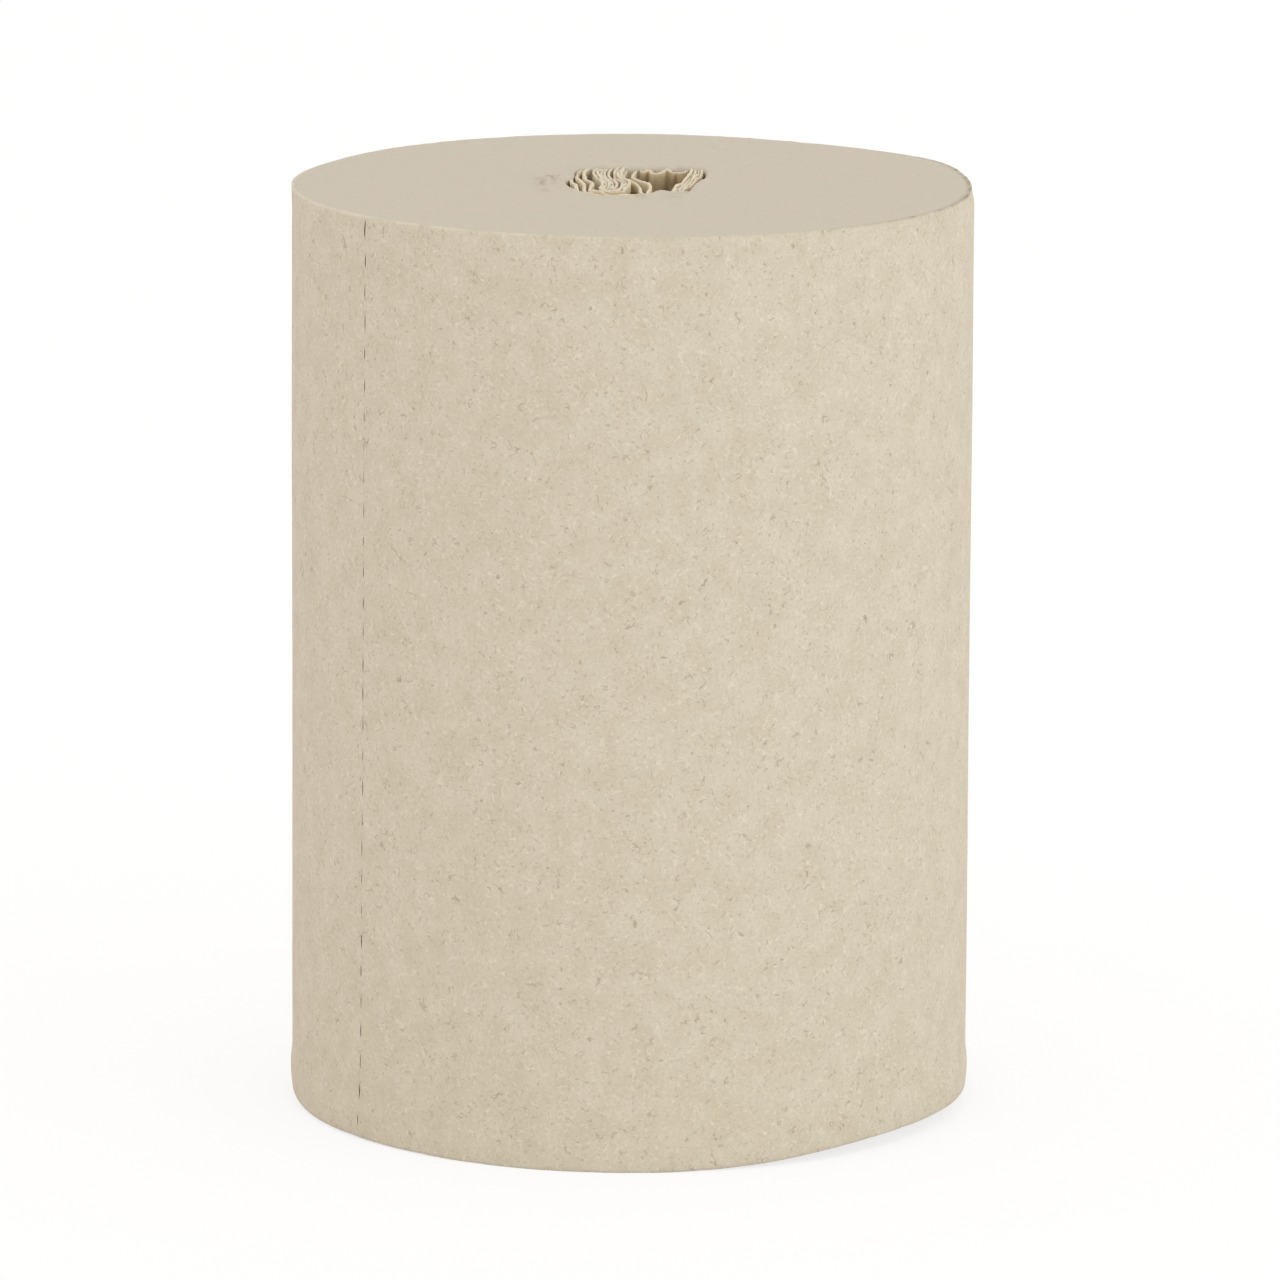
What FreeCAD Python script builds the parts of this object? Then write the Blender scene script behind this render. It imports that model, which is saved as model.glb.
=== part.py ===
"""Coreless paper towel roll for pulling from the centre, standing on one end.

One web of unbleached paper is wound with no tube inside. The winding bar has been drawn out of
the middle, which leaves a well through the roll. The innermost turns have sagged into that well
in folds. The whole roll is one sheet of paper, so it is one solid.

The Z axis runs up the middle of the roll, and the origin is at the centre of its lower end.
The side with the visible row of perforation cuts faces -Y and a little -X.
All sizes are in millimetres, and all angles in degrees from +X towards +Y.
"""

import FreeCAD, Part
import math
import os

# The wound roll
roll_height = 200.0
roll_diameter = 147.0
sheet_thickness = 0.2       # the step where the last turn ends
tail_azimuth = 62.0         # where the last turn ends, on the far side

# The row of perforation cuts across the outermost sheet
cut_azimuth = -139.7
cut_pitch = 6.67
cut_length = 4.4
cut_width = 0.36
cut_depth = 0.5
cut_from_rim = 0.5          # from the upper rim to the first cut
cut_drift = 2.0             # how far the row has run off sideways at the lower rim
cut_drift_height = 50.0     # the row starts to run off at this height

# The well that the winding bar left, and the loose turns that have sagged into it
well_spread = 1.0           # 1 is as drawn below, and more opens the well and its folds
line_tolerance = 0.05       # how closely arcs follow the lines drawn below
turn_thickness = 0.4        # two or three sheets that cling together
band_recess = 0.3           # how far each group of turns ends short of the roll's ends
wrap_recess = 0.5
tongue_recess = 0.8
pleat_recess = 1.0
divider_recess = 1.2

# The well's outline in plan, once round from the back left by way of the front
WELL = [
    (-12.3, 19.5), (-12.8, 11.5), (-13.6, 4.0), (-13.0, -2.0), (-11.6, -7.0), (-10.0, -11.5),
    (-8.2, -14.7), (-5.9, -16.7), (-3.0, -17.9), (-0.7, -18.4), (1.0, -16.8), (2.7, -13.2),
    (5.4, -11.1), (8.3, -12.0), (10.9, -11.0), (12.2, -6.0), (12.8, 0.0), (13.9, 5.5),
    (15.2, 10.5), (15.6, 16.0), (14.6, 20.6), (11.5, 22.3), (4.0, 22.4), (-4.0, 22.2),
    (-9.8, 21.7),
]

# Each group is a number of turns, their recess, and the lines in plan of its first and last
# turn. The others are spread evenly between the two. Both ends of every turn run into the
# wound paper round the well.
TONGUE = (          # folds that hang in from the back, one inside the other
    3, tongue_recess,
    [(-8.1, 24.0), (-8.15, 15.0), (-8.1, 6.0), (-8.0, -1.5), (-7.5, -6.2), (-6.1, -9.4),
     (-4.4, -10.3), (-3.05, -8.7), (-2.6, -4.0), (-2.4, 1.0), (-2.2, 7.0), (-2.2, 13.0),
     (-2.1, 24.0)],
    [(-6.5, 24.0), (-6.55, 15.0), (-6.55, 6.0), (-6.5, -1.0), (-6.25, -4.4), (-5.6, -6.6),
     (-4.9, -7.1), (-4.3, -5.6), (-4.1, -2.0), (-3.85, 2.0), (-3.65, 7.0), (-3.75, 13.0),
     (-3.5, 24.0)],
)
HAIRPIN = (         # the sharp fold inside the tongue
    1, tongue_recess,
    [(-5.85, 24.0), (-5.85, 15.0), (-5.85, 6.0), (-5.8, 0.0), (-5.8, -2.6), (-5.66, -4.1),
     (-5.36, -4.6), (-5.06, -4.1), (-4.95, -2.6), (-4.95, 0.0), (-4.95, 6.0), (-5.0, 15.0),
     (-5.0, 24.0)],
    None,
)
WRAP = (            # leaves on the left that pass in front of the tongue
    3, wrap_recess,
    [(-12.8, 24.0), (-12.95, 15.0), (-12.75, 8.0), (-12.3, 2.5), (-11.6, -2.5), (-10.8, -6.5),
     (-9.5, -10.5), (-7.6, -13.3), (-4.5, -14.9), (-1.0, -15.3), (3.4, -16.4)],
    [(-10.1, 24.0), (-9.95, 17.0), (-10.2, 11.0), (-9.8, 6.0), (-9.4, 1.0), (-9.1, -3.5),
     (-8.3, -7.6), (-6.8, -10.6), (-4.5, -12.0), (-1.5, -12.6), (3.4, -14.4)],
)
DIVIDER = (         # leaves that cross the well from the back to the front
    2, divider_recess,
    [(-1.2, 24.0), (-1.25, 13.0), (-1.0, 7.0), (-0.1, 1.5), (1.0, -2.5), (1.8, -6.0),
     (2.1, -9.5), (2.6, -15.0)],
    [(0.9, 24.0), (0.8, 13.0), (1.5, 7.0), (2.5, 1.5), (3.2, -2.5), (3.4, -6.0),
     (3.4, -9.5), (3.9, -14.0)],
)
BAND = (            # tight leaves across the right end
    4, band_recess,
    [(14.8, 24.0), (14.6, 18.0), (13.8, 11.0), (12.8, 5.0), (11.8, 0.0), (10.7, -5.0),
     (10.0, -9.0), (9.6, -14.0)],
    [(12.5, 24.0), (12.3, 18.0), (11.5, 11.0), (10.5, 5.0), (9.5, 0.0), (8.4, -5.0),
     (7.7, -9.0), (7.3, -14.0)],
)
PLEATS = (          # a rucked leaf along the back of the open part
    1, pleat_recess,
    [(1.7, 24.0), (1.65, 22.3), (1.75, 20.4), (2.1, 19.4), (2.6, 19.4), (3.1, 20.2),
     (3.65, 20.2), (4.1, 18.8), (4.9, 17.0), (6.0, 17.0), (6.6, 18.6), (6.95, 19.5),
     (7.5, 19.5), (7.9, 18.7), (8.4, 18.7), (8.8, 19.5), (9.35, 19.5), (9.8, 18.2),
     (10.8, 18.2), (11.3, 20.2), (11.45, 22.2), (11.4, 24.0)],
    None,
)
LOOSE_TURNS = [TONGUE, HAIRPIN, WRAP, DIVIDER, BAND, PLEATS]

UP = FreeCAD.Vector(0, 0, 1)
ORIGIN = FreeCAD.Vector(0, 0, 0)


def in_plan(place):
    """A point of the well's plan."""
    return FreeCAD.Vector(place[0], place[1], 0) * well_spread


def smooth_line(points, closed=False):
    """A smooth wire of arcs through the points."""
    curve = Part.BSplineCurve()
    curve.interpolate(points, PeriodicFlag=closed)
    return Part.Wire([arc.toShape() for arc in curve.toBiArcs(line_tolerance)])


def spiral_outline():
    """One turn of a spiral of four arcs, closed by the small step where the sheet ends."""
    radius = (roll_diameter + sheet_thickness) / 2
    shrink = sheet_thickness / 4
    centre = ORIGIN
    edges = []
    for quarter in range(4):
        start, middle, end = (
            centre + FreeCAD.Vector(math.cos(a), math.sin(a), 0) * radius
            for a in (math.radians(90 * quarter + turn) for turn in (0, 45, 90))
        )
        edges.append(Part.Arc(start, middle, end).toShape())
        if quarter == 0:
            first = start
        centre += (end - centre).normalize() * shrink
        radius -= shrink
    edges.append(Part.makeLine(end, first))
    return Part.Wire(edges)


def wound_paper():
    """The tight turns: a spiral prism, centred on the Z axis."""
    prism = Part.Face(spiral_outline()).extrude(UP * roll_height)
    prism.rotate(ORIGIN, UP, tail_azimuth)
    middle = prism.optimalBoundingBox().Center
    prism.translate(FreeCAD.Vector(-middle.x, -middle.y, 0))
    return prism


def well():
    """The open middle of the roll, through both ends."""
    outline = smooth_line([in_plan(place) for place in WELL], closed=True)
    return Part.Face(outline).extrude(UP * roll_height)


def loose_turns(count, recess, first_line, last_line):
    """A group of loose turns, each a tall strip that ends short of the roll's two ends."""
    turns = []
    for n in range(count):
        share = n / max(count - 1, 1)
        line = [
            in_plan(a) * (1 - share) + in_plan(b) * share
            for a, b in zip(first_line, last_line or first_line)
        ]
        section = Part.Face(smooth_line(line).makeOffset2D(turn_thickness / 2))
        strip = section.extrude(UP * (roll_height - 2 * recess))
        strip.translate(UP * recess)
        turns.append(strip)
    return turns


def perforation_cut():
    """One slit that has opened to a slim lens, reaching in from the outer face, at height 0."""
    outer = roll_diameter / 2 + sheet_thickness
    half = cut_length / 2
    top, bottom = FreeCAD.Vector(outer, 0, half), FreeCAD.Vector(outer, 0, -half)
    sides = [
        Part.Arc(bottom, FreeCAD.Vector(outer, side * cut_width / 2, 0), top).toShape()
        for side in (1, -1)
    ]
    reach = cut_depth + 2 * sheet_thickness
    return Part.Face(Part.Wire(sides)).extrude(FreeCAD.Vector(-reach, 0, 0))


def perforation():
    """The row of cuts from the upper rim to the lower, which runs off a little at the bottom."""
    cuts = []
    height = roll_height - cut_from_rim - cut_length / 2
    while height > cut_from_rim + cut_length / 2:
        drop = max(0.0, 1 - height / cut_drift_height)
        drift = math.degrees(cut_drift * drop**2 / (roll_diameter / 2))
        cut = perforation_cut()
        cut.rotate(ORIGIN, UP, cut_azimuth - drift)
        cut.translate(UP * height)
        cuts.append(cut)
        height -= cut_pitch
    return cuts


def paper_roll():
    """The whole roll, one web of paper from its first turn to its last."""
    roll = wound_paper().cut(well())
    turns = [turn for group in LOOSE_TURNS for turn in loose_turns(*group)]
    roll = roll.fuse(turns).cut(perforation())
    return roll.removeSplitter()


def main():
    """Writes the one piece to parts/."""
    os.makedirs("parts", exist_ok=True)
    roll = paper_roll()
    box = roll.optimalBoundingBox()
    print(
        "paper_roll: solids", len(roll.Solids), "valid", roll.isValid(),
        "volume", round(roll.Volume), "faces", len(roll.Faces),
        "X", round(box.XMin, 2), round(box.XMax, 2),
        "Y", round(box.YMin, 2), round(box.YMax, 2),
        "Z", round(box.ZMin, 2), round(box.ZMax, 2),
    )
    roll.Solids[0].exportStep("parts/paper_roll.step")


main()
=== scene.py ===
"""A coreless centre-pull roll of unbleached paper towel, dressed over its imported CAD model.

The roll stands on one end. Its open middle is full of loose turns that have sagged in folds, and
a row of perforation cuts runs down its side. Sizes are in metres, and the tables in millimetres.
"""

import math

import bmesh
import bpy
from bpy.props import FloatProperty, FloatVectorProperty, IntProperty, PointerProperty
from mathutils import Matrix, Vector, noise
from mathutils.geometry import interpolate_bezier


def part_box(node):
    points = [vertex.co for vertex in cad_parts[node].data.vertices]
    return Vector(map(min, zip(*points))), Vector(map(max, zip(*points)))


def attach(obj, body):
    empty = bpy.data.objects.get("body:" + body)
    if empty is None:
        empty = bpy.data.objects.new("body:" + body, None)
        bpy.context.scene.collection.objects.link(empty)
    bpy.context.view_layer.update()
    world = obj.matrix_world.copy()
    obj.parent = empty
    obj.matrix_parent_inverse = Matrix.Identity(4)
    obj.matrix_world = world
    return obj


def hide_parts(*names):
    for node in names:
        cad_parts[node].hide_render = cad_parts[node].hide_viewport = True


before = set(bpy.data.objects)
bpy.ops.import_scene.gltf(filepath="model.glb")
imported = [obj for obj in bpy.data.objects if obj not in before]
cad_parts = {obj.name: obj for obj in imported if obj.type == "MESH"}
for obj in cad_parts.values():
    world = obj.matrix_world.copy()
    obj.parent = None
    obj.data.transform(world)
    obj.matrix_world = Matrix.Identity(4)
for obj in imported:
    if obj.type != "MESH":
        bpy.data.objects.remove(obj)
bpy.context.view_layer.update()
roll_low, roll_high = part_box("paper_roll")

bl_info = {
    "name": "Centre-pull paper towel roll",
    "version": (1, 0, 0),
    "blender": (4, 5, 0),
    "location": "View3D > Sidebar > Paper roll",
    "description": "Builds a coreless roll of unbleached paper towel and a plain studio",
    "category": "Object",
}

MM = 0.001
NODE = "paper_roll"
BODY = "root"

# The outline of the open middle in plan, in mm, once round from the back left by the front
WELL = [
    (-12.5, 21.5), (-12.9, 12.5), (-14.9, 5.2), (-13.9, -1.2), (-12.2, -6.6), (-10.2, -11.5),
    (-8.2, -14.7), (-5.9, -16.7), (-3.0, -17.9), (-0.7, -18.4), (1.0, -16.8), (2.7, -13.2),
    (5.4, -11.1), (8.3, -12.0), (10.9, -11.0), (12.2, -6.0), (12.8, 0.0), (13.9, 5.5),
    (15.2, 10.5), (15.7, 17.0), (14.8, 22.0), (11.5, 23.9), (4.0, 24.2), (-4.0, 24.0),
    (-9.8, 23.7),
]
WELL_MIDDLE = Vector((0.5, 1.5))

# Loose turns: piece name, number of leaves, how far their edges lie below the roll's end, how
# thick the clinging sheets of a leaf are, how much further back a leaf stands in its lower part,
# and the lines in plan of the first and the last leaf, with the others spread between them. All
# lengths are in mm.
LOOSE_TURNS = [
    ("tongue_folds", 3, 0.1, 0.6, 0.0,
     [(-8.1, 25.5), (-7.9, 15.0), (-7.5, 6.0), (-7.1, -1.5), (-6.4, -6.2), (-4.8, -9.4),
      (-3.1, -10.3), (-1.8, -8.7), (-1.55, -4.0), (-1.6, 1.0), (-1.75, 7.0), (-2.05, 13.0),
      (-2.3, 25.5)],
     [(-6.5, 25.5), (-6.35, 15.0), (-5.95, 6.0), (-5.6, -1.0), (-5.2, -4.4), (-4.45, -6.6),
      (-3.75, -7.1), (-3.2, -5.6), (-3.15, -2.0), (-3.05, 2.0), (-3.15, 7.0), (-3.5, 13.0),
      (-3.6, 25.5)]),
    ("hairpin_fold", 1, 0.3, 0.55, 0.0,
     [(-5.85, 25.5), (-5.65, 15.0), (-5.25, 6.0), (-4.95, 0.0), (-4.8, -2.6), (-4.6, -4.1),
      (-4.3, -4.6), (-4.05, -4.1), (-3.95, -2.6), (-4.1, 0.0), (-4.35, 6.0), (-4.8, 15.0),
      (-5.0, 25.5)],
     None),
    ("wrap_leaves", 3, 0.2, 0.85, 0.0,
     [(-12.8, 25.5), (-13.0, 15.0), (-13.6, 8.0), (-13.3, 2.0), (-12.2, -2.9),
      (-11.1, -6.7), (-9.5, -10.5), (-7.6, -13.3), (-4.5, -14.9), (-1.0, -15.3),
      (3.4, -16.4)],
     [(-10.1, 25.5), (-9.95, 17.0), (-10.2, 11.0), (-9.8, 6.0), (-9.4, 1.0), (-9.1, -3.5),
      (-8.3, -7.6), (-6.8, -10.6), (-4.5, -12.0), (-1.5, -12.6), (3.4, -14.4)]),
    ("divider_leaves", 2, 0.5, 0.75, 0.0,
     [(-1.9, 25.5), (-1.5, 15.0), (-0.6, 8.0), (0.6, 2.0), (1.5, -2.5), (2.1, -6.0),
      (2.3, -9.5), (2.6, -15.0)],
     [(0.2, 25.5), (0.6, 15.0), (1.9, 8.0), (3.0, 2.0), (3.5, -2.5), (3.6, -6.0),
      (3.5, -9.5), (3.9, -14.0)]),
    ("band_leaves", 4, 0.1, 0.62, 0.0,
     [(14.8, 25.5), (14.6, 18.0), (13.8, 11.0), (12.8, 5.0), (11.8, 0.0), (10.7, -5.0),
      (10.0, -9.0), (9.6, -14.0)],
     [(12.5, 25.5), (12.3, 18.0), (11.5, 11.0), (10.5, 5.0), (9.5, 0.0), (8.4, -5.0),
      (7.7, -9.0), (7.3, -14.0)]),
    ("pleated_leaf", 1, 0.2, 0.6, 3.0,
     [(1.7, 25.8), (1.65, 24.6), (1.75, 23.2), (2.1, 22.4), (2.6, 22.4), (3.1, 23.0),
      (3.65, 22.9), (4.1, 21.6), (4.9, 19.8), (6.0, 19.8), (6.6, 21.2), (6.95, 22.1),
      (7.5, 22.1), (7.9, 21.3), (8.4, 21.3), (8.8, 22.1), (9.35, 22.1), (9.8, 20.8),
      (10.8, 20.8), (11.3, 22.6), (11.45, 24.3), (11.4, 25.8)],
     None),
]

# Small hurts on the upper end near the open middle, and last the sunken lip in front of it: from
# x, y to x, y, half width and depth in mm
DENTS = [
    (-18.2, 8.2, -18.0, 4.9, 0.6, 0.9), (-17.0, 3.9, -16.9, 0.8, 0.5, 0.7),
    (-19.7, 3.6, -19.6, -3.2, 0.45, 0.6), (-18.9, -9.4, -18.7, -11.8, 0.45, 0.5),
    (-15.6, 3.6, -16.0, 0.4, 0.5, 0.6), (-17.6, 9.6, -16.4, 10.6, 0.4, 0.5),
    (-20.8, 8.0, -20.6, 5.6, 0.4, 0.5), (8.8, -15.6, 11.0, -14.8, 0.5, 0.6),
    (8.3, -18.9, 9.7, -19.8, 0.5, 0.5), (2.2, -18.0, 2.6, -20.0, 0.4, 0.4),
    (-7.0, -16.0, 0.8, -19.0, 0.8, 0.5),
]

# Where the upper end stands high or low at the rim: direction and spread in degrees, height in mm
UNEVEN = [(22, 13.18, 0.65), (158, 17.19, -0.35), (62, 14, -0.25)]


def linear(hex_colour):
    """The linear colour of an sRGB hex value."""
    parts = (int(hex_colour[n:n + 2], 16) / 255 for n in (0, 2, 4))
    return tuple(p / 12.92 if p <= 0.04045 else ((p + 0.055) / 1.055) ** 2.4 for p in parts)


class PaperRollSizes(bpy.types.PropertyGroup):
    """Sizes of the wound roll and its loose turns."""

    columns: IntProperty(
        name="Columns", description="Columns of faces once round the roll",
        default=200, min=48)
    web_step: FloatProperty(
        name="Web step", description="Height of the step where the last turn ends",
        default=0.2 * MM, subtype="DISTANCE", unit="LENGTH")
    web_end: FloatProperty(
        name="Web end", description="Direction in which the last turn ends",
        default=math.radians(61.3), subtype="ANGLE", unit="ROTATION")
    cut_row: FloatProperty(
        name="Row of cuts", description="Direction of the row of perforation cuts",
        default=math.radians(-140.1), subtype="ANGLE", unit="ROTATION")
    cut_pitch: FloatProperty(
        name="Cut pitch", description="From one perforation cut to the next",
        default=6.67 * MM, subtype="DISTANCE", unit="LENGTH")
    cut_width: FloatProperty(
        name="Cut width", description="How far the widest cut has opened",
        default=0.4 * MM, subtype="DISTANCE", unit="LENGTH")
    cut_depth: FloatProperty(
        name="Cut depth", description="How deep a cut reaches into the roll",
        default=0.9 * MM, subtype="DISTANCE", unit="LENGTH")
    cut_lean: FloatProperty(
        name="Cut lean", description="How far the row leans sideways from top to bottom",
        default=1.7 * MM, subtype="DISTANCE", unit="LENGTH")
    cut_drift: FloatProperty(
        name="Cut drift", description="How much further the row runs off at the lower end",
        default=0.7 * MM, subtype="DISTANCE", unit="LENGTH")
    rim_width: FloatProperty(
        name="Rim width", description="How wide a band the loose outer turns make",
        default=1.3 * MM, subtype="DISTANCE", unit="LENGTH")
    rim_lift: FloatProperty(
        name="Rim lift", description="How far the outer turns stand proud of the upper end",
        default=0.25 * MM, subtype="DISTANCE", unit="LENGTH")
    foot_creep: FloatProperty(
        name="Foot creep", description="How far the outer turns have crept up off the floor",
        default=2.7 * MM, subtype="DISTANCE", unit="LENGTH")
    taper: FloatProperty(
        name="Taper", description="How much narrower the roll's radius is at the top",
        default=0.22 * MM, subtype="DISTANCE", unit="LENGTH")
    foot_flare: FloatProperty(
        name="Foot flare", description="How far the foot of the roll spreads",
        default=0.35 * MM, subtype="DISTANCE", unit="LENGTH")


class PaperRollColours(bpy.types.PropertyGroup):
    """Colours of the paper."""

    web: FloatVectorProperty(
        name="Web", description="The unbleached pulp, face on",
        default=linear("d8ceba"), size=3, min=0, max=1, subtype="COLOR")
    warm: FloatVectorProperty(
        name="Warm patches", description="Where the pulp is a little darker and warmer",
        default=linear("d2c7b2"), size=3, min=0, max=1, subtype="COLOR")
    # The loose turns are the same paper as the web. These two colours are tinted yellower than the
    # web's, as painted warm shade for the light that bounces between the folds of the open middle.
    leaf: FloatVectorProperty(
        name="Loose web", description="The loose turns in the open middle, a little yellower",
        default=linear("d7cbb0"), size=3, min=0, max=1, subtype="COLOR")
    leaf_warm: FloatVectorProperty(
        name="Warm loose web", description="Where the loose turns are a little redder",
        default=linear("d5c5a9"), size=3, min=0, max=1, subtype="COLOR")
    end: FloatVectorProperty(
        name="Trimmed end", description="The cut edges of the turns",
        default=linear("cac3b2"), size=3, min=0, max=1, subtype="COLOR")
    end_warm: FloatVectorProperty(
        name="Warm trimmed end", description="Where the cut edges are a little redder",
        default=linear("cdc3b2"), size=3, min=0, max=1, subtype="COLOR")
    # Also the colour of the painted shadow along the rim and beside the end of the web
    fleck_and_shade: FloatVectorProperty(
        name="Flecks", description="Dark specks and fibres in the pulp",
        default=linear("7d6a52"), size=3, min=0, max=1, subtype="COLOR")
    # Painted shade: the dark colour given to the inside of a perforation cut
    gap: FloatVectorProperty(
        name="Gaps", description="The dark inside of a perforation cut",
        default=linear("4a3d2e"), size=3, min=0, max=1, subtype="COLOR")
    # Also the colour of the painted highlight along the lit rim
    fibre_and_highlight: FloatVectorProperty(
        name="Light fibres", description="Fibres that catch the light",
        default=linear("e6dcc8"), size=3, min=0, max=1, subtype="COLOR")


def add(tree, kind, inputs=None, **settings):
    """Adds a node with its settings. Each input is a value or a socket to link from."""
    node = tree.nodes.new("ShaderNode" + kind)
    for name, value in settings.items():
        setattr(node, name, value)
    for socket, value in (inputs or {}).items():
        if isinstance(value, bpy.types.NodeSocket):
            tree.links.new(value, node.inputs[socket])
        else:
            node.inputs[socket].default_value = value
    return node


def stretch(tree, value, low, high, new_low, new_high):
    """The value, with low to high made new_low to new_high."""
    return add(tree, "MapRange", {
        "Value": value, "From Min": low, "From Max": high,
        "To Min": new_low, "To Max": new_high,
    }).outputs["Result"]


def mix(tree, factor, first, second, blend_type="MIX"):
    """Two colours mixed by a factor."""
    inputs = {0: factor, 6: first, 7: second}
    return add(tree, "Mix", inputs, data_type="RGBA", blend_type=blend_type).outputs[2]


def hairs(tree, place, spacing, width, share):
    """Short curved hairs: thin contours of a twisted noise, kept only in some spots.

    The spacing and the width are in metres, and the share is how much of the web has them.
    """
    contour = add(tree, "TexNoise", {
        "Vector": place, "Scale": 1 / spacing, "Detail": 1.0, "Distortion": 0.6,
    }).outputs["Fac"]
    off = add(tree, "Math", {0: contour, 1: 0.5}, operation="SUBTRACT").outputs[0]
    off = add(tree, "Math", {0: off}, operation="ABSOLUTE").outputs[0]
    line = stretch(tree, off, 0.0, width / spacing, 1.0, 0.0)
    spot = add(tree, "TexNoise", {
        "Vector": place, "Scale": 1.4 / spacing, "Detail": 0.0,
    }).outputs["Fac"]
    kept = stretch(tree, spot, 1.0 - share, 1.06 - share, 0.0, 1.0)
    return add(tree, "Math", {0: line, 1: kept}, operation="MULTIPLY").outputs[0]


def specks(tree, place, spacing, size, share):
    """Small dark dots, one in some of the cells of a Voronoi pattern."""
    cells = add(tree, "TexVoronoi", {"Vector": place, "Scale": 1 / spacing})
    dot = stretch(tree, cells.outputs["Distance"], size / spacing * 0.5, size / spacing, 1, 0)
    pick = add(tree, "SeparateColor", {0: cells.outputs["Color"]}).outputs[0]
    kept = stretch(tree, pick, 1.0 - share, 1.01 - share, 0.0, 1.0)
    return add(tree, "Math", {0: dot, 1: kept}, operation="MULTIPLY").outputs[0]


def paper(name, colour, warm, colours, life, relief):
    """Unbleached recycled tissue paper, matt all over.

    The pulp is cloudy from patch to patch. The eye then sees felted fibres, some lighter and
    some darker, a few bold dark hairs and specks, and a soft grain. The life is how strongly
    all these show, and the relief is how high the crepe stands.
    """
    material = bpy.data.materials.new(name)
    material.use_nodes = True
    tree = material.node_tree
    shader = tree.nodes["Principled BSDF"]
    place = add(tree, "TexCoord").outputs["Object"]
    moved = add(tree, "Mapping", {"Vector": place, "Location": (0.31, 0.17, 0.23)}).outputs[0]
    fibre_and_highlight, fleck_and_shade, gap = ((*tint, 1) for tint in (colours.fibre_and_highlight, colours.fleck_and_shade, colours.gap))

    cloud_size, mottle_size = 6 * MM, 0.7 * MM
    cloud = add(tree, "TexNoise", {
        "Vector": place, "Scale": 1 / cloud_size, "Detail": 3.0,
    }).outputs["Fac"]
    pulp = mix(tree, stretch(tree, cloud, 0.35, 0.65, 0.0, 1.0), (*colour, 1), (*warm, 1))
    mottle = add(tree, "TexNoise", {
        "Vector": place, "Scale": 1 / mottle_size, "Detail": 6.0, "Roughness": 0.7,
    }).outputs["Fac"]
    darker, lighter = 0.10 * life, 0.06 * life
    shade = stretch(tree, mottle, 0.3, 0.7, 1 - darker, 1 + lighter)
    shades = add(tree, "CombineColor", {0: shade, 1: shade, 2: shade}).outputs[0]
    pulp = mix(tree, 1.0, pulp, shades, "MULTIPLY")

    # Felted fibres in three sizes, the light ones first: spacing and width in mm, share and
    # strength
    for where, tint, spacing, width, share, strength in (
        (place, fibre_and_highlight, 1.9, 0.065, 0.52, 0.72),
        (moved, fleck_and_shade, 1.4, 0.05, 0.42, 0.34),
        (moved, fleck_and_shade, 2.9, 0.07, 0.36, 0.45),
    ):
        strands = hairs(tree, where, spacing * MM, width * MM, share)
        pulp = mix(tree, stretch(tree, strands, 0, 1, 0, strength * life), pulp, tint)
    # Specks in two sizes: spacing and size in mm, share and strength
    for spacing, size, share, strength in ((2.7, 0.2, 0.1, 0.8), (1.3, 0.13, 0.16, 0.55)):
        dots = specks(tree, moved, spacing * MM, size * MM, share * life)
        pulp = mix(tree, stretch(tree, dots, 0, 1, 0, strength), pulp, fleck_and_shade)

    # Painted light and shade at the rim and at the end of the web: lighter above 0, with a painted
    # highlight along the lit rim, and a painted shadow below 0. Below -1 it is painted shade
    # inside a perforation cut.
    light_shade = add(tree, "Attribute", attribute_name="painted_light_and_shade").outputs["Fac"]
    pulp = mix(tree, stretch(tree, light_shade, 0, 1, 0, 0.75), pulp, fibre_and_highlight)
    pulp = mix(tree, stretch(tree, light_shade, 0, -1, 0, 0.55), pulp, fleck_and_shade)
    pulp = mix(tree, stretch(tree, light_shade, -1, -2, 0, 1), pulp, gap)
    tree.links.new(pulp, shader.inputs["Base Color"])

    # The ridges of the crepe run up the roll, so their pattern is drawn out along Z
    crepe_pitch, along_z = 0.4 * MM, 0.3
    drawn = add(tree, "Mapping", {"Vector": place, "Scale": (1, 1, along_z)}).outputs["Vector"]
    ridges = add(tree, "TexNoise", {
        "Vector": drawn, "Scale": 1 / crepe_pitch, "Detail": 3.0,
    }).outputs["Fac"]
    bump = add(tree, "Bump", {"Height": ridges, "Strength": 0.6, "Distance": relief})
    tree.links.new(bump.outputs["Normal"], shader.inputs["Normal"])
    shader.inputs["Roughness"].default_value = 0.92
    shader.inputs["IOR"].default_value = 1.5
    shader.inputs["Specular IOR Level"].default_value = 0.25
    return material


def leaf_material(colours):
    """A loose sheet or two of the web, which lets some light through."""
    # The loose web is a copy of the paper, with its colours tinted as painted warm shade of the
    # open middle
    material = paper("Loose creped tissue", colours.leaf, colours.leaf_warm, colours,
                     life=0.6, relief=0.1 * MM)
    shader = material.node_tree.nodes["Principled BSDF"]
    shader.inputs["Subsurface Weight"].default_value = 0.7
    shader.inputs["Subsurface Radius"].default_value = (1.0, 0.93, 0.8)
    shader.inputs["Subsurface Scale"].default_value = 2.0 * MM
    return material


def web_material(colours):
    """The face of the web, as on the side of the roll and on the wall of its open middle."""
    return paper("Creped recycled tissue", colours.web, colours.warm, colours,
                 life=1.0, relief=0.1 * MM)


def end_material(colours):
    """The trimmed ends: thousands of cut edges pressed together, smoother and greyer."""
    return paper("Trimmed edges of tissue", colours.end, colours.end_warm, colours,
                 life=0.3, relief=0.05 * MM)


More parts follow.
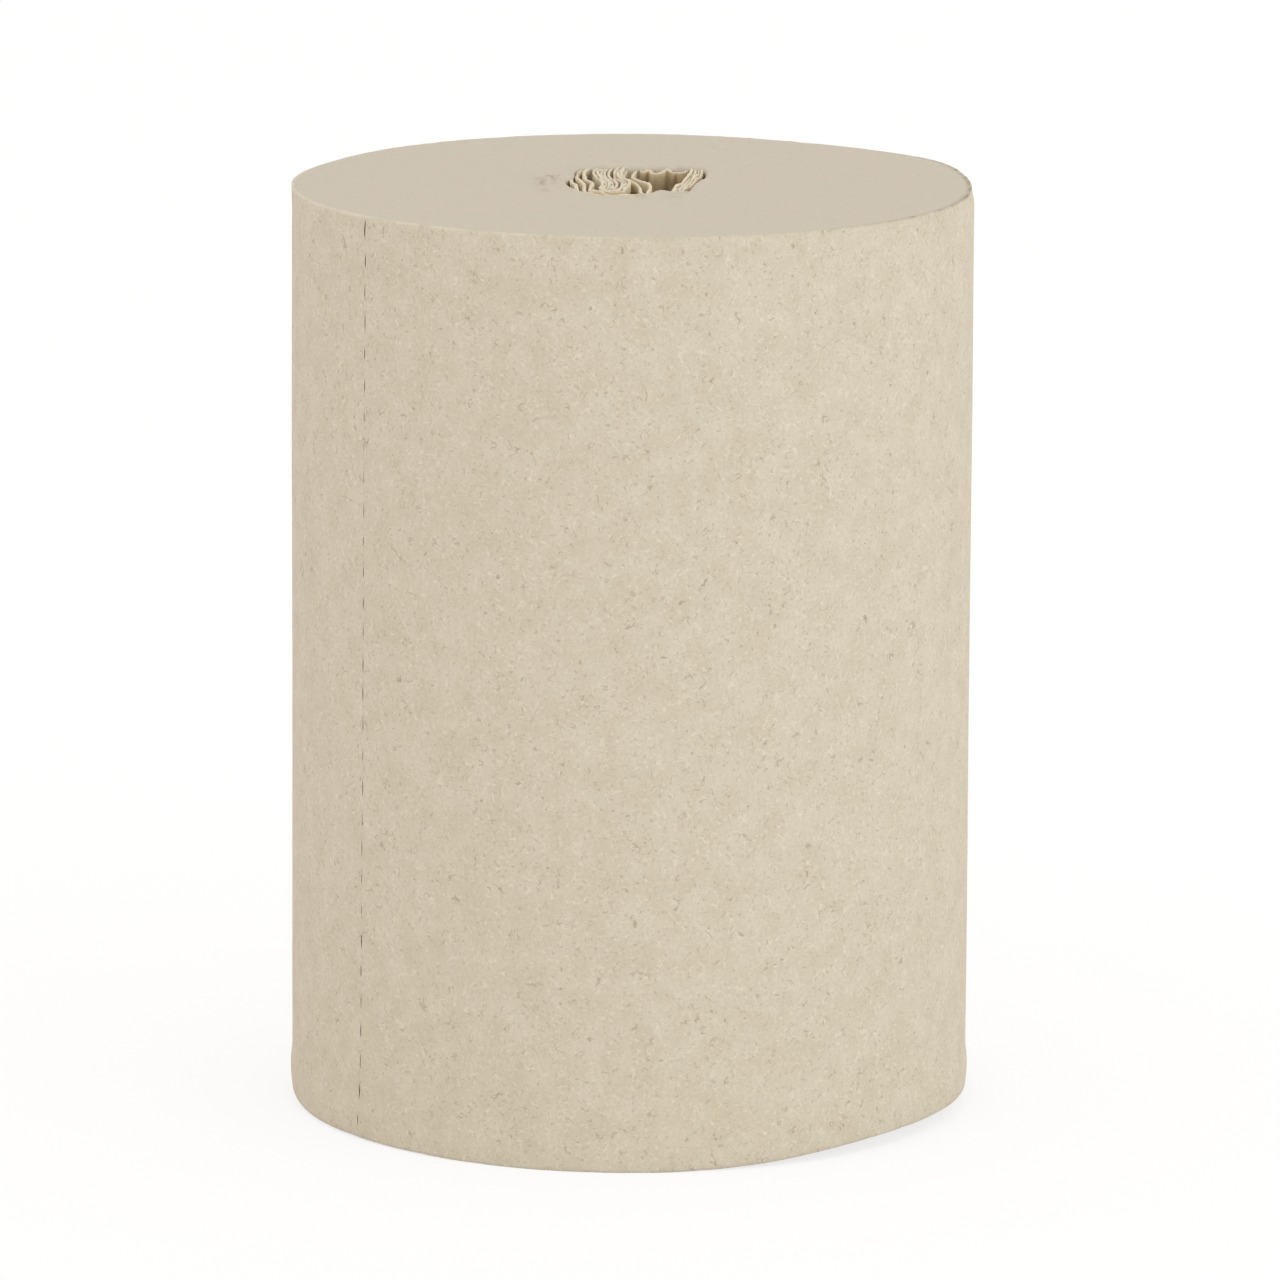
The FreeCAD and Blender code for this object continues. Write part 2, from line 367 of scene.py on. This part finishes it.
def new_piece(name, mesh_maker, materials):
    """Makes a bmesh into an object that rides on the roll's body and stands for its node."""
    mesh = bpy.data.meshes.new(name)
    mesh_maker.to_mesh(mesh)
    mesh_maker.free()
    mesh.shade_smooth()
    for material in materials:
        mesh.materials.append(material)
    piece = bpy.data.objects.new(name, mesh)
    bpy.context.scene.collection.objects.link(piece)
    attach(piece, BODY)
    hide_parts(NODE)
    return piece


def smooth_line(places, steps):
    """Points along a smooth line through the places, with so many steps between each two."""
    ends = [places[0], *places, places[-1]]
    line = []
    for before, first, second, after in zip(ends, ends[1:], ends[2:], ends[3:]):
        reach = (second - first).length / 3
        handles = (first + (second - before).normalized() * reach,
                   second - (after - first).normalized() * reach)
        line += interpolate_bezier(first, *handles, second, steps + 1)[:-1]
    return line + [places[-1]]


def bell(distance, width):
    """1 at no distance, and falling off smoothly to nothing at a few widths."""
    return math.exp(-(distance / width) ** 2)


def ramp(value, low, high):
    """0 below low, 1 above high, and a smooth step between them."""
    share = min(1.0, max(0.0, (value - low) / (high - low)))
    return share * share * (3 - 2 * share)


def turned(angle):
    """The angle between -pi and pi."""
    return (angle + math.pi) % math.tau - math.pi


class WellShape:
    """The open middle in plan, as a radius round its middle for each direction."""

    def __init__(self):
        line = smooth_line([Vector((x, y, 0)) * MM for x, y in WELL + WELL[:3]], 8)
        middle = WELL_MIDDLE.to_3d() * MM
        spokes = [point - middle for point in line]
        self.table = sorted((math.atan2(s.y, s.x), s.length) for s in spokes)

    def radius(self, angle):
        """The distance from the well's middle to its wall."""
        angle = turned(angle)
        first_angle, first = self.table[-1]
        first_angle -= math.tau
        for next_angle, following in self.table:
            if next_angle >= angle:
                share = (angle - first_angle) / max(next_angle - first_angle, 1e-9)
                return first + (following - first) * share
            first_angle, first = next_angle, following
        next_angle, following = self.table[0]
        share = (angle - first_angle) / (next_angle + math.tau - first_angle)
        return first + (following - first) * share


class WoundRoll:
    """The tight turns, spun from a profile and then eased into the roll's real shape."""

    TIES = 3                    # rows of faces between two cuts
    CUTS = 6                    # rows of faces in each cut
    FIRST_CUT = 0.5 * MM        # from the upper rim to the first cut
    BORE = 16 * MM              # radius of the spun middle, before it is eased to the well
    SOFT_EDGE = 0.15 * MM       # height of the rounding at the two rims

    # Rings of the two ends: even ones near the well, and then wider and wider ones
    NEAR_RINGS, NEAR_SPACING = 22, 0.36 * MM
    FAR_RINGS, FAR_GROWTH = 24, 1.25
    RIM_RINGS = (0.62, 0.34, 0.12)      # as shares of the rim's width
    RIM_REACH = 1.4                     # how far in the rim's painted light and shade reaches, in rim's widths
    SHAFT_ROWS = (0.5, 1.1, 2.0, 3.2, 5, 8, 12, 18, 28, 42, 60, 80)     # in mm from each end

    # The columns beside the row of cuts and the end of the web: how far out each is drawn, and how
    # many take part, in widths of a plain column
    DRAWN_OUT = {1: 0.75, 2: 1.9, 3: 3.2}
    EASED_COLUMNS = 9
    WEB_END_HALF = 0.03 * MM            # half the width of the step at the end of the web
    SHUT_CUT_HALF = 0.008 * MM          # half the width of a cut that has not opened

    CUT_SHADE = -12.0                  # value for the painted shade inside a cut
    SHARP = 0.5                         # angle in radians from which an upright edge stays sharp

    def __init__(self, sizes):
        self.sizes = sizes
        self.height = roll_high[2]
        self.radius = (roll_high[0] - roll_low[0]) / 2
        self.step = math.tau / sizes.columns
        self.row = sizes.cut_pitch / (self.TIES + self.CUTS)
        self.well = WellShape()

    def profile(self):
        """Corners of the profile, as radius and height, once round from the well's foot."""
        height, radius, width = self.height, self.radius, self.sizes.rim_width
        near = [self.BORE + n * self.NEAR_SPACING for n in range(self.NEAR_RINGS)]
        start, reach = near[-1], radius - width - near[-1]
        shares = [n / self.FAR_RINGS for n in range(1, self.FAR_RINGS + 1)]
        far = [start + reach * share ** self.FAR_GROWTH for share in shares]
        rings = near + far + [radius - width * share for share in self.RIM_RINGS]
        rows = int((height - 2 * self.FIRST_CUT) / self.row)
        wall = [height - self.FIRST_CUT - n * self.row for n in range(rows + 1)]
        shaft = [n * MM for n in self.SHAFT_ROWS]
        lower = [(r, 0) for r in rings]
        upper = [(r, height) for r in reversed(rings)]
        side = [(radius, self.SOFT_EDGE)] + [(radius, z) for z in reversed(wall)]
        side += [(radius, height - self.SOFT_EDGE)]
        down = [(self.BORE, height - z) for z in shaft] + [(self.BORE, height / 2)]
        down += [(self.BORE, z) for z in reversed(shaft)]
        return lower + side + upper + down

    def spun(self):
        """The profile spun round the axis into one closed skin."""
        bm = bmesh.new()
        corners = [bm.verts.new((r, 0, z)) for r, z in self.profile()]
        edges = [bm.edges.new(pair) for pair in zip(corners, corners[1:] + corners[:1])]
        bmesh.ops.spin(
            bm, geom=corners + edges, cent=(0, 0, 0), axis=(0, 0, 1), dvec=(0, 0, 0),
            angle=math.tau, steps=self.sizes.columns, use_merge=True, use_duplicate=False)
        bmesh.ops.remove_doubles(bm, verts=bm.verts[:], dist=1e-6)
        bmesh.ops.recalc_face_normals(bm, faces=bm.faces[:])
        return bm

    def cut_at(self, height):
        """The number of the cut at a height and the place along it, from -1 to 1, or None.

        The first cut is as long as the knife's tooth. The others have closed at their ends, and
        the place runs past 1 there.
        """
        slack = 0.01
        rows_down = (self.height - self.FIRST_CUT - height) / self.row
        number, place = divmod(rows_down + slack / 10, self.TIES + self.CUTS)
        if rows_down < -slack or place > self.CUTS + slack:
            return None
        whole = 2 * place / self.CUTS - 1
        if number == 0:
            return 0, whole
        shift = 0.3 * noise.noise((number * 3.3, 1.2, 0.7))
        reach = 0.8 - 0.45 * noise.noise((number * 1.9, 6.4, 2.2))
        return int(number), (whole - shift) / min(1.0, reach)

    def openness(self, number):
        """How far a cut has opened: the first one to its full width, and the next ones most."""
        if number == 0:
            return 1.0
        near_rim = bell(number, 2.5)
        return 0.6 + 0.3 * near_rim + 0.4 * noise.noise((number * 1.37, 4.2, 0.3))

    def azimuth(self, column, height):
        """The direction of a column of corners at a height.

        The row of cuts and the end of the web each run between two columns that are drawn
        close together. Their neighbours even out the widths of the faces.
        """
        sizes = self.sizes
        plain = sizes.cut_row + (column + 0.5) * self.step
        for feature in (sizes.cut_row, sizes.web_end):
            steps = turned(plain - feature) / self.step
            if abs(steps) > self.EASED_COLUMNS:
                continue
            if feature == sizes.cut_row:
                half, shift = self.cut_opening(height)
            else:
                half = self.WEB_END_HALF
                shift = 0.5 * MM * noise.noise((9.1, 0, height / (9 * MM)))
            drawn = {0: half / (self.radius * self.step), **self.DRAWN_OUT}
            size = drawn.get(int(abs(steps)), abs(steps))
            fade = 1 - ramp(abs(steps), 2, self.EASED_COLUMNS)
            return feature + math.copysign(size, steps) * self.step + shift / self.radius * fade
        return plain

    def cut_opening(self, height):
        """Half the width of the row of cuts at a height, and how far it lies off to the side."""
        sizes, drift_height, wobble = self.sizes, 30 * MM, 0.1 * MM
        bow, tilt = 0.15 * MM, 0.2 * MM
        half = self.SHUT_CUT_HALF
        shift = -sizes.cut_lean * (1 - height / self.height)
        shift -= sizes.cut_drift * max(0.0, 1 - height / drift_height) ** 2
        shift += wobble * noise.noise((0, 3.1, height / (12 * MM)))
        cut = self.cut_at(height)
        if cut and abs(cut[1]) < 1:
            number, place = cut
            swell = 1 - place ** 2
            half += sizes.cut_width / 2 * swell * self.openness(number)
            # The first cut is bowed and tilted most, and the others each in their own way
            share = noise.noise((number * 2.1, 7.7, 0)) if number else 1.3
            shift -= bow * swell * share + tilt * place * (number == 0)
        return half, shift

    def outer_radius(self, azimuth, height):
        """The roll's radius, with the web's spiral step, a spread foot and slight waves.

        The foot's corner is rounded, the upper rim stands out a little and is squeezed in on the
        right, and the end of the web has lifted.
        """
        sizes = self.sizes
        spread, rounding, lip, squeeze, lift = 0.06 * MM, 0.35 * MM, 0.1 * MM, 0.65 * MM, 0.35 * MM
        waves = ((0.12 * MM, 1.8, 60 * MM), (0.03 * MM, 9.0, 11 * MM))
        turn = turned(azimuth - sizes.web_end) / math.tau % 1.0
        radius = self.radius + spread - sizes.web_step * turn
        radius -= sizes.taper * height / self.height
        radius += sizes.foot_flare * (1 - ramp(height, 5.5 * MM, 10.5 * MM))
        radius -= rounding * max(0.0, 1 - height / (5 * MM)) ** 2
        radius += lip * ramp(height, self.height - 5 * MM, self.height - 1.5 * MM)
        right = bell(turned(azimuth), 0.4)
        radius -= squeeze * right * ramp(height, self.height - 4 * MM, self.height)
        around = Vector((math.cos(azimuth), math.sin(azimuth), 0))
        for size, rate, rise in waves:
            radius += size * noise.noise(around * rate + Vector((0, 0, height / rise)))
        loose = bell(turned(azimuth - sizes.web_end - 0.01), 0.018) * (turn < 0.5)
        radius += lift * loose * (1 + noise.noise((5, 2, height / (20 * MM))))
        return radius

    def relief(self, place, edge, azimuth):
        """How far the upper end rises at a place in plan, at a distance from the well's edge."""
        x, y = place.x / MM, place.y / MM
        edge /= MM
        rise = 0.14 * noise.noise((x / 17, y / 17, 1.3)) + 0.05 * noise.noise((x / 4, y / 4, 8))

        # The paper puffs up in a ring round the well, and its very edge is rounded off
        front_right = bell(turned(azimuth - math.radians(-66)), 0.36)
        back = bell(turned(azimuth - math.radians(95)), 0.9)
        ragged = noise.noise((x / 1.6, y / 1.6, 3.0))
        puff = 0.08 + 0.3 * front_right + 0.1 * back + 0.2 * ragged
        rise += puff * bell(edge - 1.5, 1.9) + 0.3 * ragged * bell(edge, 3.0)
        rise -= 0.7 * max(0.0, 1 - edge) ** 2

        # Each hurt is a groove with a low ridge along both sides
        for x0, y0, x1, y1, half, depth in DENTS:
            start, span = Vector((x0, y0)), Vector((x1 - x0, y1 - y0))
            share = (Vector((x, y)) - start).dot(span) / span.length_squared
            away = (Vector((x, y)) - start - span * min(1.0, max(0.0, share))).length
            rise += depth * (0.7 * bell(away - 2.0 * half, half) - bell(away, half))
        return rise * MM

    def unevenness(self, azimuth):
        """How far the upper end stands high, or low below 0, at the rim in a direction."""
        return MM * sum(
            height * bell(turned(azimuth - math.radians(direction)), math.radians(spread))
            for direction, spread, height in UNEVEN
        )

    def rim_shape(self, radius, height, azimuth):
        """How a corner of the upper rim is lifted, and its painted highlight and shadow, by where
        it lies.

        The outer turns stand proud in front on the left, where their edge gets a painted
        highlight. In front on the right the next turns have sunk a little, and the rim gets a
        painted shadow.
        """
        sizes, rim_height, sink = self.sizes, 0.6 * MM, 0.5 * MM
        inward = (self.radius - radius) / sizes.rim_width
        down = self.height - height
        if inward > self.RIM_REACH or down > rim_height:
            return 0.0, 0.0
        around = Vector((math.cos(azimuth), math.sin(azimuth), 0))
        rag = noise.noise(around * 24) + 0.7 * noise.noise(around * 61)

        # In degrees from +X: the painted highlight runs from 150 by way of the left to -84
        turn = math.degrees(turned(azimuth))
        left = 1 - ramp(turn, -128, -84) if turn < 0 else ramp(turn, 150, 178)
        right = bell(turn + 15, 38)
        edge, next_turns = bell(inward, 0.2), bell(inward - 0.5, 0.24)
        lift = sizes.rim_lift * edge * (0.35 + 0.9 * left + 0.25 * right + 0.35 * rag)
        lift -= sink * next_turns * right
        # Painted highlight along the lit left rim, and painted shadow along the right rim
        rim_highlight = 1.3 * edge * left * max(0.0, 0.8 + 1.3 * rag)
        rim_shadow = bell(inward - 0.2, 0.3) * right * max(0.0, 0.9 + 1.2 * rag)
        fade = 1 - ramp(down, 0.12 * MM, rim_height)
        return lift * fade, (rim_highlight - rim_shadow) * fade

    def foot_creep(self, radius, height, azimuth):
        """How far the outer turns at the foot have crept up, most of all on the right."""
        turn = math.degrees(turned(azimuth))
        right = 1 - ramp(abs(turn - 8), 30, 95)
        left = 0.6 * bell(abs(turn) - 180, 16) + 0.15 * bell(turn + 146, 22)
        front_right = 0.25 * bell(turn + 47, 17)
        outer = ramp(radius, self.radius - 16 * MM, self.radius - 1 * MM)
        share = (right + left + front_right) * outer * (1 - ramp(height, 0, 20 * MM))
        return self.sizes.foot_creep * share

    def eased(self, corner):
        """Where a corner of the spun skin goes, and its painted light and shade there."""
        radius, height = math.hypot(corner.x, corner.y), corner.z
        column = round(math.atan2(corner.y, corner.x) / self.step) % self.sizes.columns
        azimuth = self.azimuth(column, height)
        straight = self.sizes.cut_row + (column + 0.5) * self.step
        share = (radius - self.BORE) / (self.radius - self.BORE)

        # In plan: from the well's wall, which sways a little with the height, to the outside
        ahead = Vector((math.cos(straight), math.sin(straight), 0))
        sway = 0.5 * noise.noise((ahead.x, ahead.y, height / (18 * MM)))
        sway += 0.3 * noise.noise((ahead.x * 5, ahead.y * 5, 0))
        depth = min(height, self.height - height)
        wall = self.well.radius(straight) + sway * MM * ramp(depth, -2 * MM, 9 * MM)
        inner = WELL_MIDDLE.to_3d() * MM + ahead * wall
        around = Vector((math.cos(azimuth), math.sin(azimuth), 0))
        outer = around * self.outer_radius(azimuth, height)
        point = inner.lerp(outer, share)

        # In height: the relief fades down the well, and the unevenness over the top tenth
        inward = (self.radius - radius) / self.sizes.rim_width
        top = math.exp(-(self.height - height) / (1.2 * MM)) * ramp(inward, 0.0, 1.5)
        rise = self.relief(point, (outer - inner).length * share, straight) * top
        rise += self.unevenness(straight) * share * ramp(height, 0.9 * self.height, self.height)
        lift, light_shade = self.rim_shape(radius, height, azimuth)
        if height < 0.1 * MM and inward < self.RIM_REACH:
            rise += 0.15 * MM * (1 - inward / self.RIM_REACH) * abs(noise.noise(around * 24))
        point.z = height + rise + lift + self.foot_creep(radius, height, azimuth)

        # At the end of the web the paper is lighter on its own side, and a painted shadow lies on
        # the other
        beside = turned(straight - self.sizes.web_end) / self.step
        if radius > self.radius - 0.1 * MM and abs(beside) < 1:
            patchy = 0.8 + noise.noise((2, 6, height / (5 * MM)))
            light_shade += (0.5 if beside > 0 else -0.6) * patchy
        return point, light_shade

    def build(self):
        """The skin with its cuts pressed in."""
        bm = self.spun()
        cut_faces = self.sort_faces(bm)
        # A layer for the painted light and shade at the rim, at the end of the web and in the cuts
        light_shade_layer = bm.verts.layers.float.new("painted_light_and_shade")
        for corner in bm.verts:
            corner.co, corner[light_shade_layer] = self.eased(corner.co)
        pressed = bmesh.ops.extrude_face_region(bm, geom=cut_faces)["geom"]
        bmesh.ops.delete(bm, geom=cut_faces, context="FACES")
        floor = [part for part in pressed if isinstance(part, bmesh.types.BMVert)]
        for corner in floor:
            outward = Vector((corner.co.x, corner.co.y, 0)).normalized()
            corner.co -= outward * self.sizes.cut_depth
            # The inside of each cut gets painted shade
            corner[light_shade_layer] = self.CUT_SHADE
        self.sharpen(bm)
        return bm

    def sort_faces(self, bm):
        """Gives the ends' faces their own material, and returns the faces of the cuts."""
        halfway, end_slot = self.step / 2, 1
        cut_faces = []
        for face in bm.faces:
            middle = face.calc_center_median()
            away = math.hypot(*middle.xy)
            # The outermost band of each end keeps the lighter web colour, a painted highlight
            # along the rim
            if abs(face.normal.z) > 0.9 and away < self.radius - 0.4 * MM:
                face.material_index = end_slot
            if abs(away - self.radius) > 0.05 * MM:
                continue
            column_off = turned(math.atan2(middle.y, middle.x) + halfway)
            cut = self.cut_at(middle.z)
            if abs(column_off) < halfway / 2 and cut and abs(cut[1]) < 1:
                cut_faces.append(face)
        return cut_faces

    def sharpen(self, bm):
        """Keeps the upright edges of the cuts and of the web's end sharp."""
        bm.normal_update()
        for edge in bm.edges:
            first, second = (corner.co for corner in edge.verts)
            outside = min(first.xy.length, second.xy.length) > self.radius - 3 * MM
            upright = abs(second.z - first.z) > 0.9 * (second - first).length
            edge.smooth = not (outside and upright and edge.calc_face_angle(0) > self.SHARP)


def leaf_levels(height, gap):
    """Heights of the rows of a leaf, close together near its two edges."""
    lower = [gap + n * MM for n in (0, 0.4, 1.0, 1.8, 3.0, 4.8, 7.5, 11, 17, 27, 45, 70)]
    return lower + [height / 2] + [height - z for z in reversed(lower)]


def leaf_line(places):
    """The line of a leaf in plan, with points about as far apart as its finest crinkles."""
    crinkle = 0.8 * MM
    spans = [(b - a).length for a, b in zip(places, places[1:])]
    return smooth_line(places, max(2, round(sum(spans) / len(spans) / crinkle)))


def add_leaf(bm, places, height, gap, number, lean):
    """Adds one loose leaf, a tall grid hung along a line in plan.

    Leaves that lie side by side sway and bend together. Each has its own crinkles and its own
    edge. A leaf with a lean stands that far further back in its lower part than at its edges.
    """
    line = leaf_line(places)
    own = 7.3 * number
    levels = leaf_levels(height, gap + 0.7 * MM * abs(noise.noise((own, 0.4, 0.2))))
    grid = bmesh.ops.create_grid(
        bm, x_segments=len(line) - 1, y_segments=len(levels) - 1, size=1.0)["verts"]
    for corner in grid:
        along = round((corner.co.x + 1) / 2 * (len(line) - 1))
        level = round((corner.co.y + 1) / 2 * (len(levels) - 1))
        point, z = line[along], levels[level]
        depth = min(z, height - z)

        # The sway is weaker near the ends of the roll, where a leaf keeps to its line
        field = Vector((point.x, point.y, z * 0.45)) / (8 * MM)
        sway = 0.75 * MM * ramp(depth, 0, 12 * MM) + 0.25 * MM
        aside = sway * noise.noise(field)
        back = sway * noise.noise(field + Vector((31, 17, 5)))
        back += lean * ramp(depth, 0.3 * MM, 7 * MM)

        # The folds on the left bend in one long wave, which dies out towards the band on the right
        wave = math.tau * (point.y + 3 * MM) / (26 * MM) + z / (45 * MM) - 4.4
        aside += 0.7 * MM * math.sin(wave) * (1 - ramp(point.x, 4 * MM, 8 * MM))
        crinkle = Vector((point.x, point.y, z * 0.3)) / (1.9 * MM) + Vector((own, 0, own))
        held = ramp(min(along, len(line) - 1 - along), 0, 5)
        aside += 0.1 * MM * held * noise.noise(crinkle)

        # The two edges are wavy and a little ragged, and the lower one only rises, off the floor
        wavy = noise.noise((along * 0.11, own, 2.0 if z > depth else 7.0))
        ragged = noise.noise((along * 0.45, own, 4.0))
        rise = (0.75 * wavy + 0.25 * ragged) * MM * (1 - ramp(depth, 0, 6 * MM))
        corner.co = (point.x + aside, point.y + back, z + (rise if z > depth else abs(rise)))


class PAPERROLL_OT_wound_roll(bpy.types.Operator):
    """Builds the tight turns of the roll, with its ends, its open middle and its cuts"""

    bl_idname = "paperroll.wound_roll"
    bl_label = "Wound roll"

    def execute(self, context):
        """Builds the piece."""
        sizes, colours = context.scene.paper_roll_sizes, context.scene.paper_roll_colours
        bm = WoundRoll(sizes).build()
        new_piece("wound_turns", bm, [web_material(colours), end_material(colours)])
        return {"FINISHED"}


class PAPERROLL_OT_loose_turns(bpy.types.Operator):
    """Builds the loose innermost turns, which have sagged into the open middle in folds"""

    bl_idname = "paperroll.loose_turns"
    bl_label = "Loose turns"

    def execute(self, context):
        """Builds one piece for each group of leaves."""
        colours = context.scene.paper_roll_colours
        material = leaf_material(colours)
        number = 0
        for name, count, recess, thickness, lean, first_line, last_line in LOOSE_TURNS:
            bm = bmesh.new()
            for n in range(count):
                share = n / max(count - 1, 1)
                places = [
                    Vector((*a, 0)).lerp(Vector((*b, 0)), share) * MM
                    for a, b in zip(first_line, last_line or first_line)
                ]
                add_leaf(bm, places, roll_high[2], recess * MM, number, lean * MM)
                number += 1
            piece = new_piece(name, bm, [material])
            wall = piece.modifiers.new("Thickness", "SOLIDIFY")
            wall.thickness = thickness * MM
            wall.offset = 0.0
            edge = piece.modifiers.new("Soft edges", "BEVEL")
            edge.width = 0.42 * thickness * MM
            edge.segments = 2
            edge.limit_method = "ANGLE"
        return {"FINISHED"}


class PAPERROLL_OT_stage(bpy.types.Operator):
    """Builds the floor, the lights and the camera"""

    bl_idname = "paperroll.stage"
    bl_label = "Stage"

    def execute(self, context):
        """Builds the stage."""
        scene = context.scene
        floor_mesh = bmesh.new()
        bmesh.ops.create_grid(floor_mesh, x_segments=1, y_segments=1, size=6.0)
        mesh = bpy.data.meshes.new("studio_floor")
        floor_mesh.to_mesh(mesh)
        floor_mesh.free()
        mesh.materials.append(floor_material())
        floor = bpy.data.objects.new("studio_floor", mesh)
        scene.collection.objects.link(floor)
        light_studio(scene)
        set_camera(scene)
        scene.view_settings.view_transform = "Standard"
        return {"FINISHED"}


def seen_directly(tree):
    """1 for rays that show the studio to the camera, also by a reflection or through glass."""
    path = add(tree, "LightPath")
    camera, glossy, through = (
        path.outputs[f"Is {kind} Ray"] for kind in ("Camera", "Glossy", "Transmission"))
    both = add(tree, "Math", {0: camera, 1: glossy}, operation="MAXIMUM").outputs[0]
    return add(tree, "Math", {0: both, 1: through}, operation="MAXIMUM").outputs[0]


def floor_material():
    """White studio paper that looks white to the camera, with a faint shadow of the roll."""
    material = bpy.data.materials.new("White studio paper")
    material.use_nodes = True
    tree = material.node_tree
    tree.nodes.clear()
    seen = seen_directly(tree)

    # To the camera a quarter of the white is light that falls on the paper, and the rest glows, so
    # the shadow stays faint
    white, seen_white, glow_level = (0.88, 0.88, 0.88, 1), (0.25, 0.25, 0.25, 1), 0.76
    tint = mix(tree, seen, white, seen_white)
    paper_white = add(tree, "BsdfDiffuse", {"Color": tint}).outputs[0]
    glow = add(tree, "Math", {0: seen, 1: glow_level}, operation="MULTIPLY").outputs[0]
    lift = add(tree, "Emission", {"Color": (1, 1, 1, 1), "Strength": glow}).outputs[0]
    both = add(tree, "AddShader", {0: paper_white, 1: lift}).outputs[0]
    add(tree, "OutputMaterial", {"Surface": both})
    return material


def light_studio(scene):
    """A white room, and one large soft lamp on the right that is turned to the roll."""
    world = bpy.data.worlds.new("White studio")
    world.use_nodes = True
    tree = world.node_tree
    background = tree.nodes["Background"]
    seen = seen_directly(tree)
    warm_white, white = (1, 0.97, 0.955, 1), (1, 1, 1, 1)
    tree.links.new(stretch(tree, seen, 0.0, 1.0, 0.98, 1.0), background.inputs["Strength"])
    tree.links.new(mix(tree, seen, warm_white, white), background.inputs["Color"])
    scene.world = world

    lamp = bpy.data.lights.new("Right softbox", "AREA")
    lamp.shape = "RECTANGLE"
    lamp.size, lamp.size_y = 2.4, 1.2
    lamp.energy = 8.2
    lamp.color = (0.82, 0.96, 1.0)
    place, aim = Vector((1.72, -1.3, 0.7)), Vector((0, 0, 0.12))
    holder = bpy.data.objects.new("Right softbox", lamp)
    holder.matrix_world = looking(place, aim)
    scene.collection.objects.link(holder)


def looking(place, aim, roll=0.0):
    """The matrix of a lamp or camera that looks from a place at a point, turned by a roll."""
    turn = (aim - place).to_track_quat("-Z", "Y").to_matrix().to_4x4()
    return Matrix.Translation(place) @ turn @ Matrix.Rotation(roll, 4, "Z")


def set_camera(scene):
    """A long lens two metres away, a little above the roll, as in the photograph."""
    image_width, sensor_width = 1280, 36.0
    focal_pixels, axis_pixel = 9864.0, 631.0
    distance, rise, aim_height, tilt = 2.095, 0.521, 0.1002, math.radians(0.29)
    camera = bpy.data.cameras.new("Camera")
    camera.sensor_width = sensor_width
    camera.lens = focal_pixels / image_width * sensor_width
    aside = distance * (image_width / 2 - axis_pixel) / focal_pixels
    place, aim = Vector((0, -distance, rise)), Vector((aside, 0, aim_height))
    holder = bpy.data.objects.new("Camera", camera)
    holder.matrix_world = looking(place, aim, tilt)
    scene.collection.objects.link(holder)
    scene.camera = holder


class PAPERROLL_PT_panel(bpy.types.Panel):
    """Lists the roll's pieces and its stage"""

    bl_idname = "PAPERROLL_PT_panel"
    bl_label = "Paper roll"
    bl_space_type = "VIEW_3D"
    bl_region_type = "UI"
    bl_category = "Paper roll"

    def draw(self, context):
        """Draws the sizes, the colours and a button for each operator."""
        for group in (context.scene.paper_roll_sizes, context.scene.paper_roll_colours):
            for name in type(group).__annotations__:
                self.layout.prop(group, name)
        for operator in OPERATORS:
            self.layout.operator(operator.bl_idname)


OPERATORS = (PAPERROLL_OT_wound_roll, PAPERROLL_OT_loose_turns, PAPERROLL_OT_stage)
CLASSES = (PaperRollSizes, PaperRollColours, *OPERATORS, PAPERROLL_PT_panel)


def register():
    """Registers the classes and the scene's properties."""
    for kind in CLASSES:
        bpy.utils.register_class(kind)
    bpy.types.Scene.paper_roll_sizes = PointerProperty(type=PaperRollSizes)
    bpy.types.Scene.paper_roll_colours = PointerProperty(type=PaperRollColours)


def unregister():
    """Takes away what register added."""
    del bpy.types.Scene.paper_roll_sizes
    del bpy.types.Scene.paper_roll_colours
    for kind in reversed(CLASSES):
        bpy.utils.unregister_class(kind)


def main():
    """Builds everything in order."""
    register()
    bpy.ops.paperroll.wound_roll()
    bpy.ops.paperroll.loose_turns()
    bpy.ops.paperroll.stage()


if __name__ == "__main__":
    main()
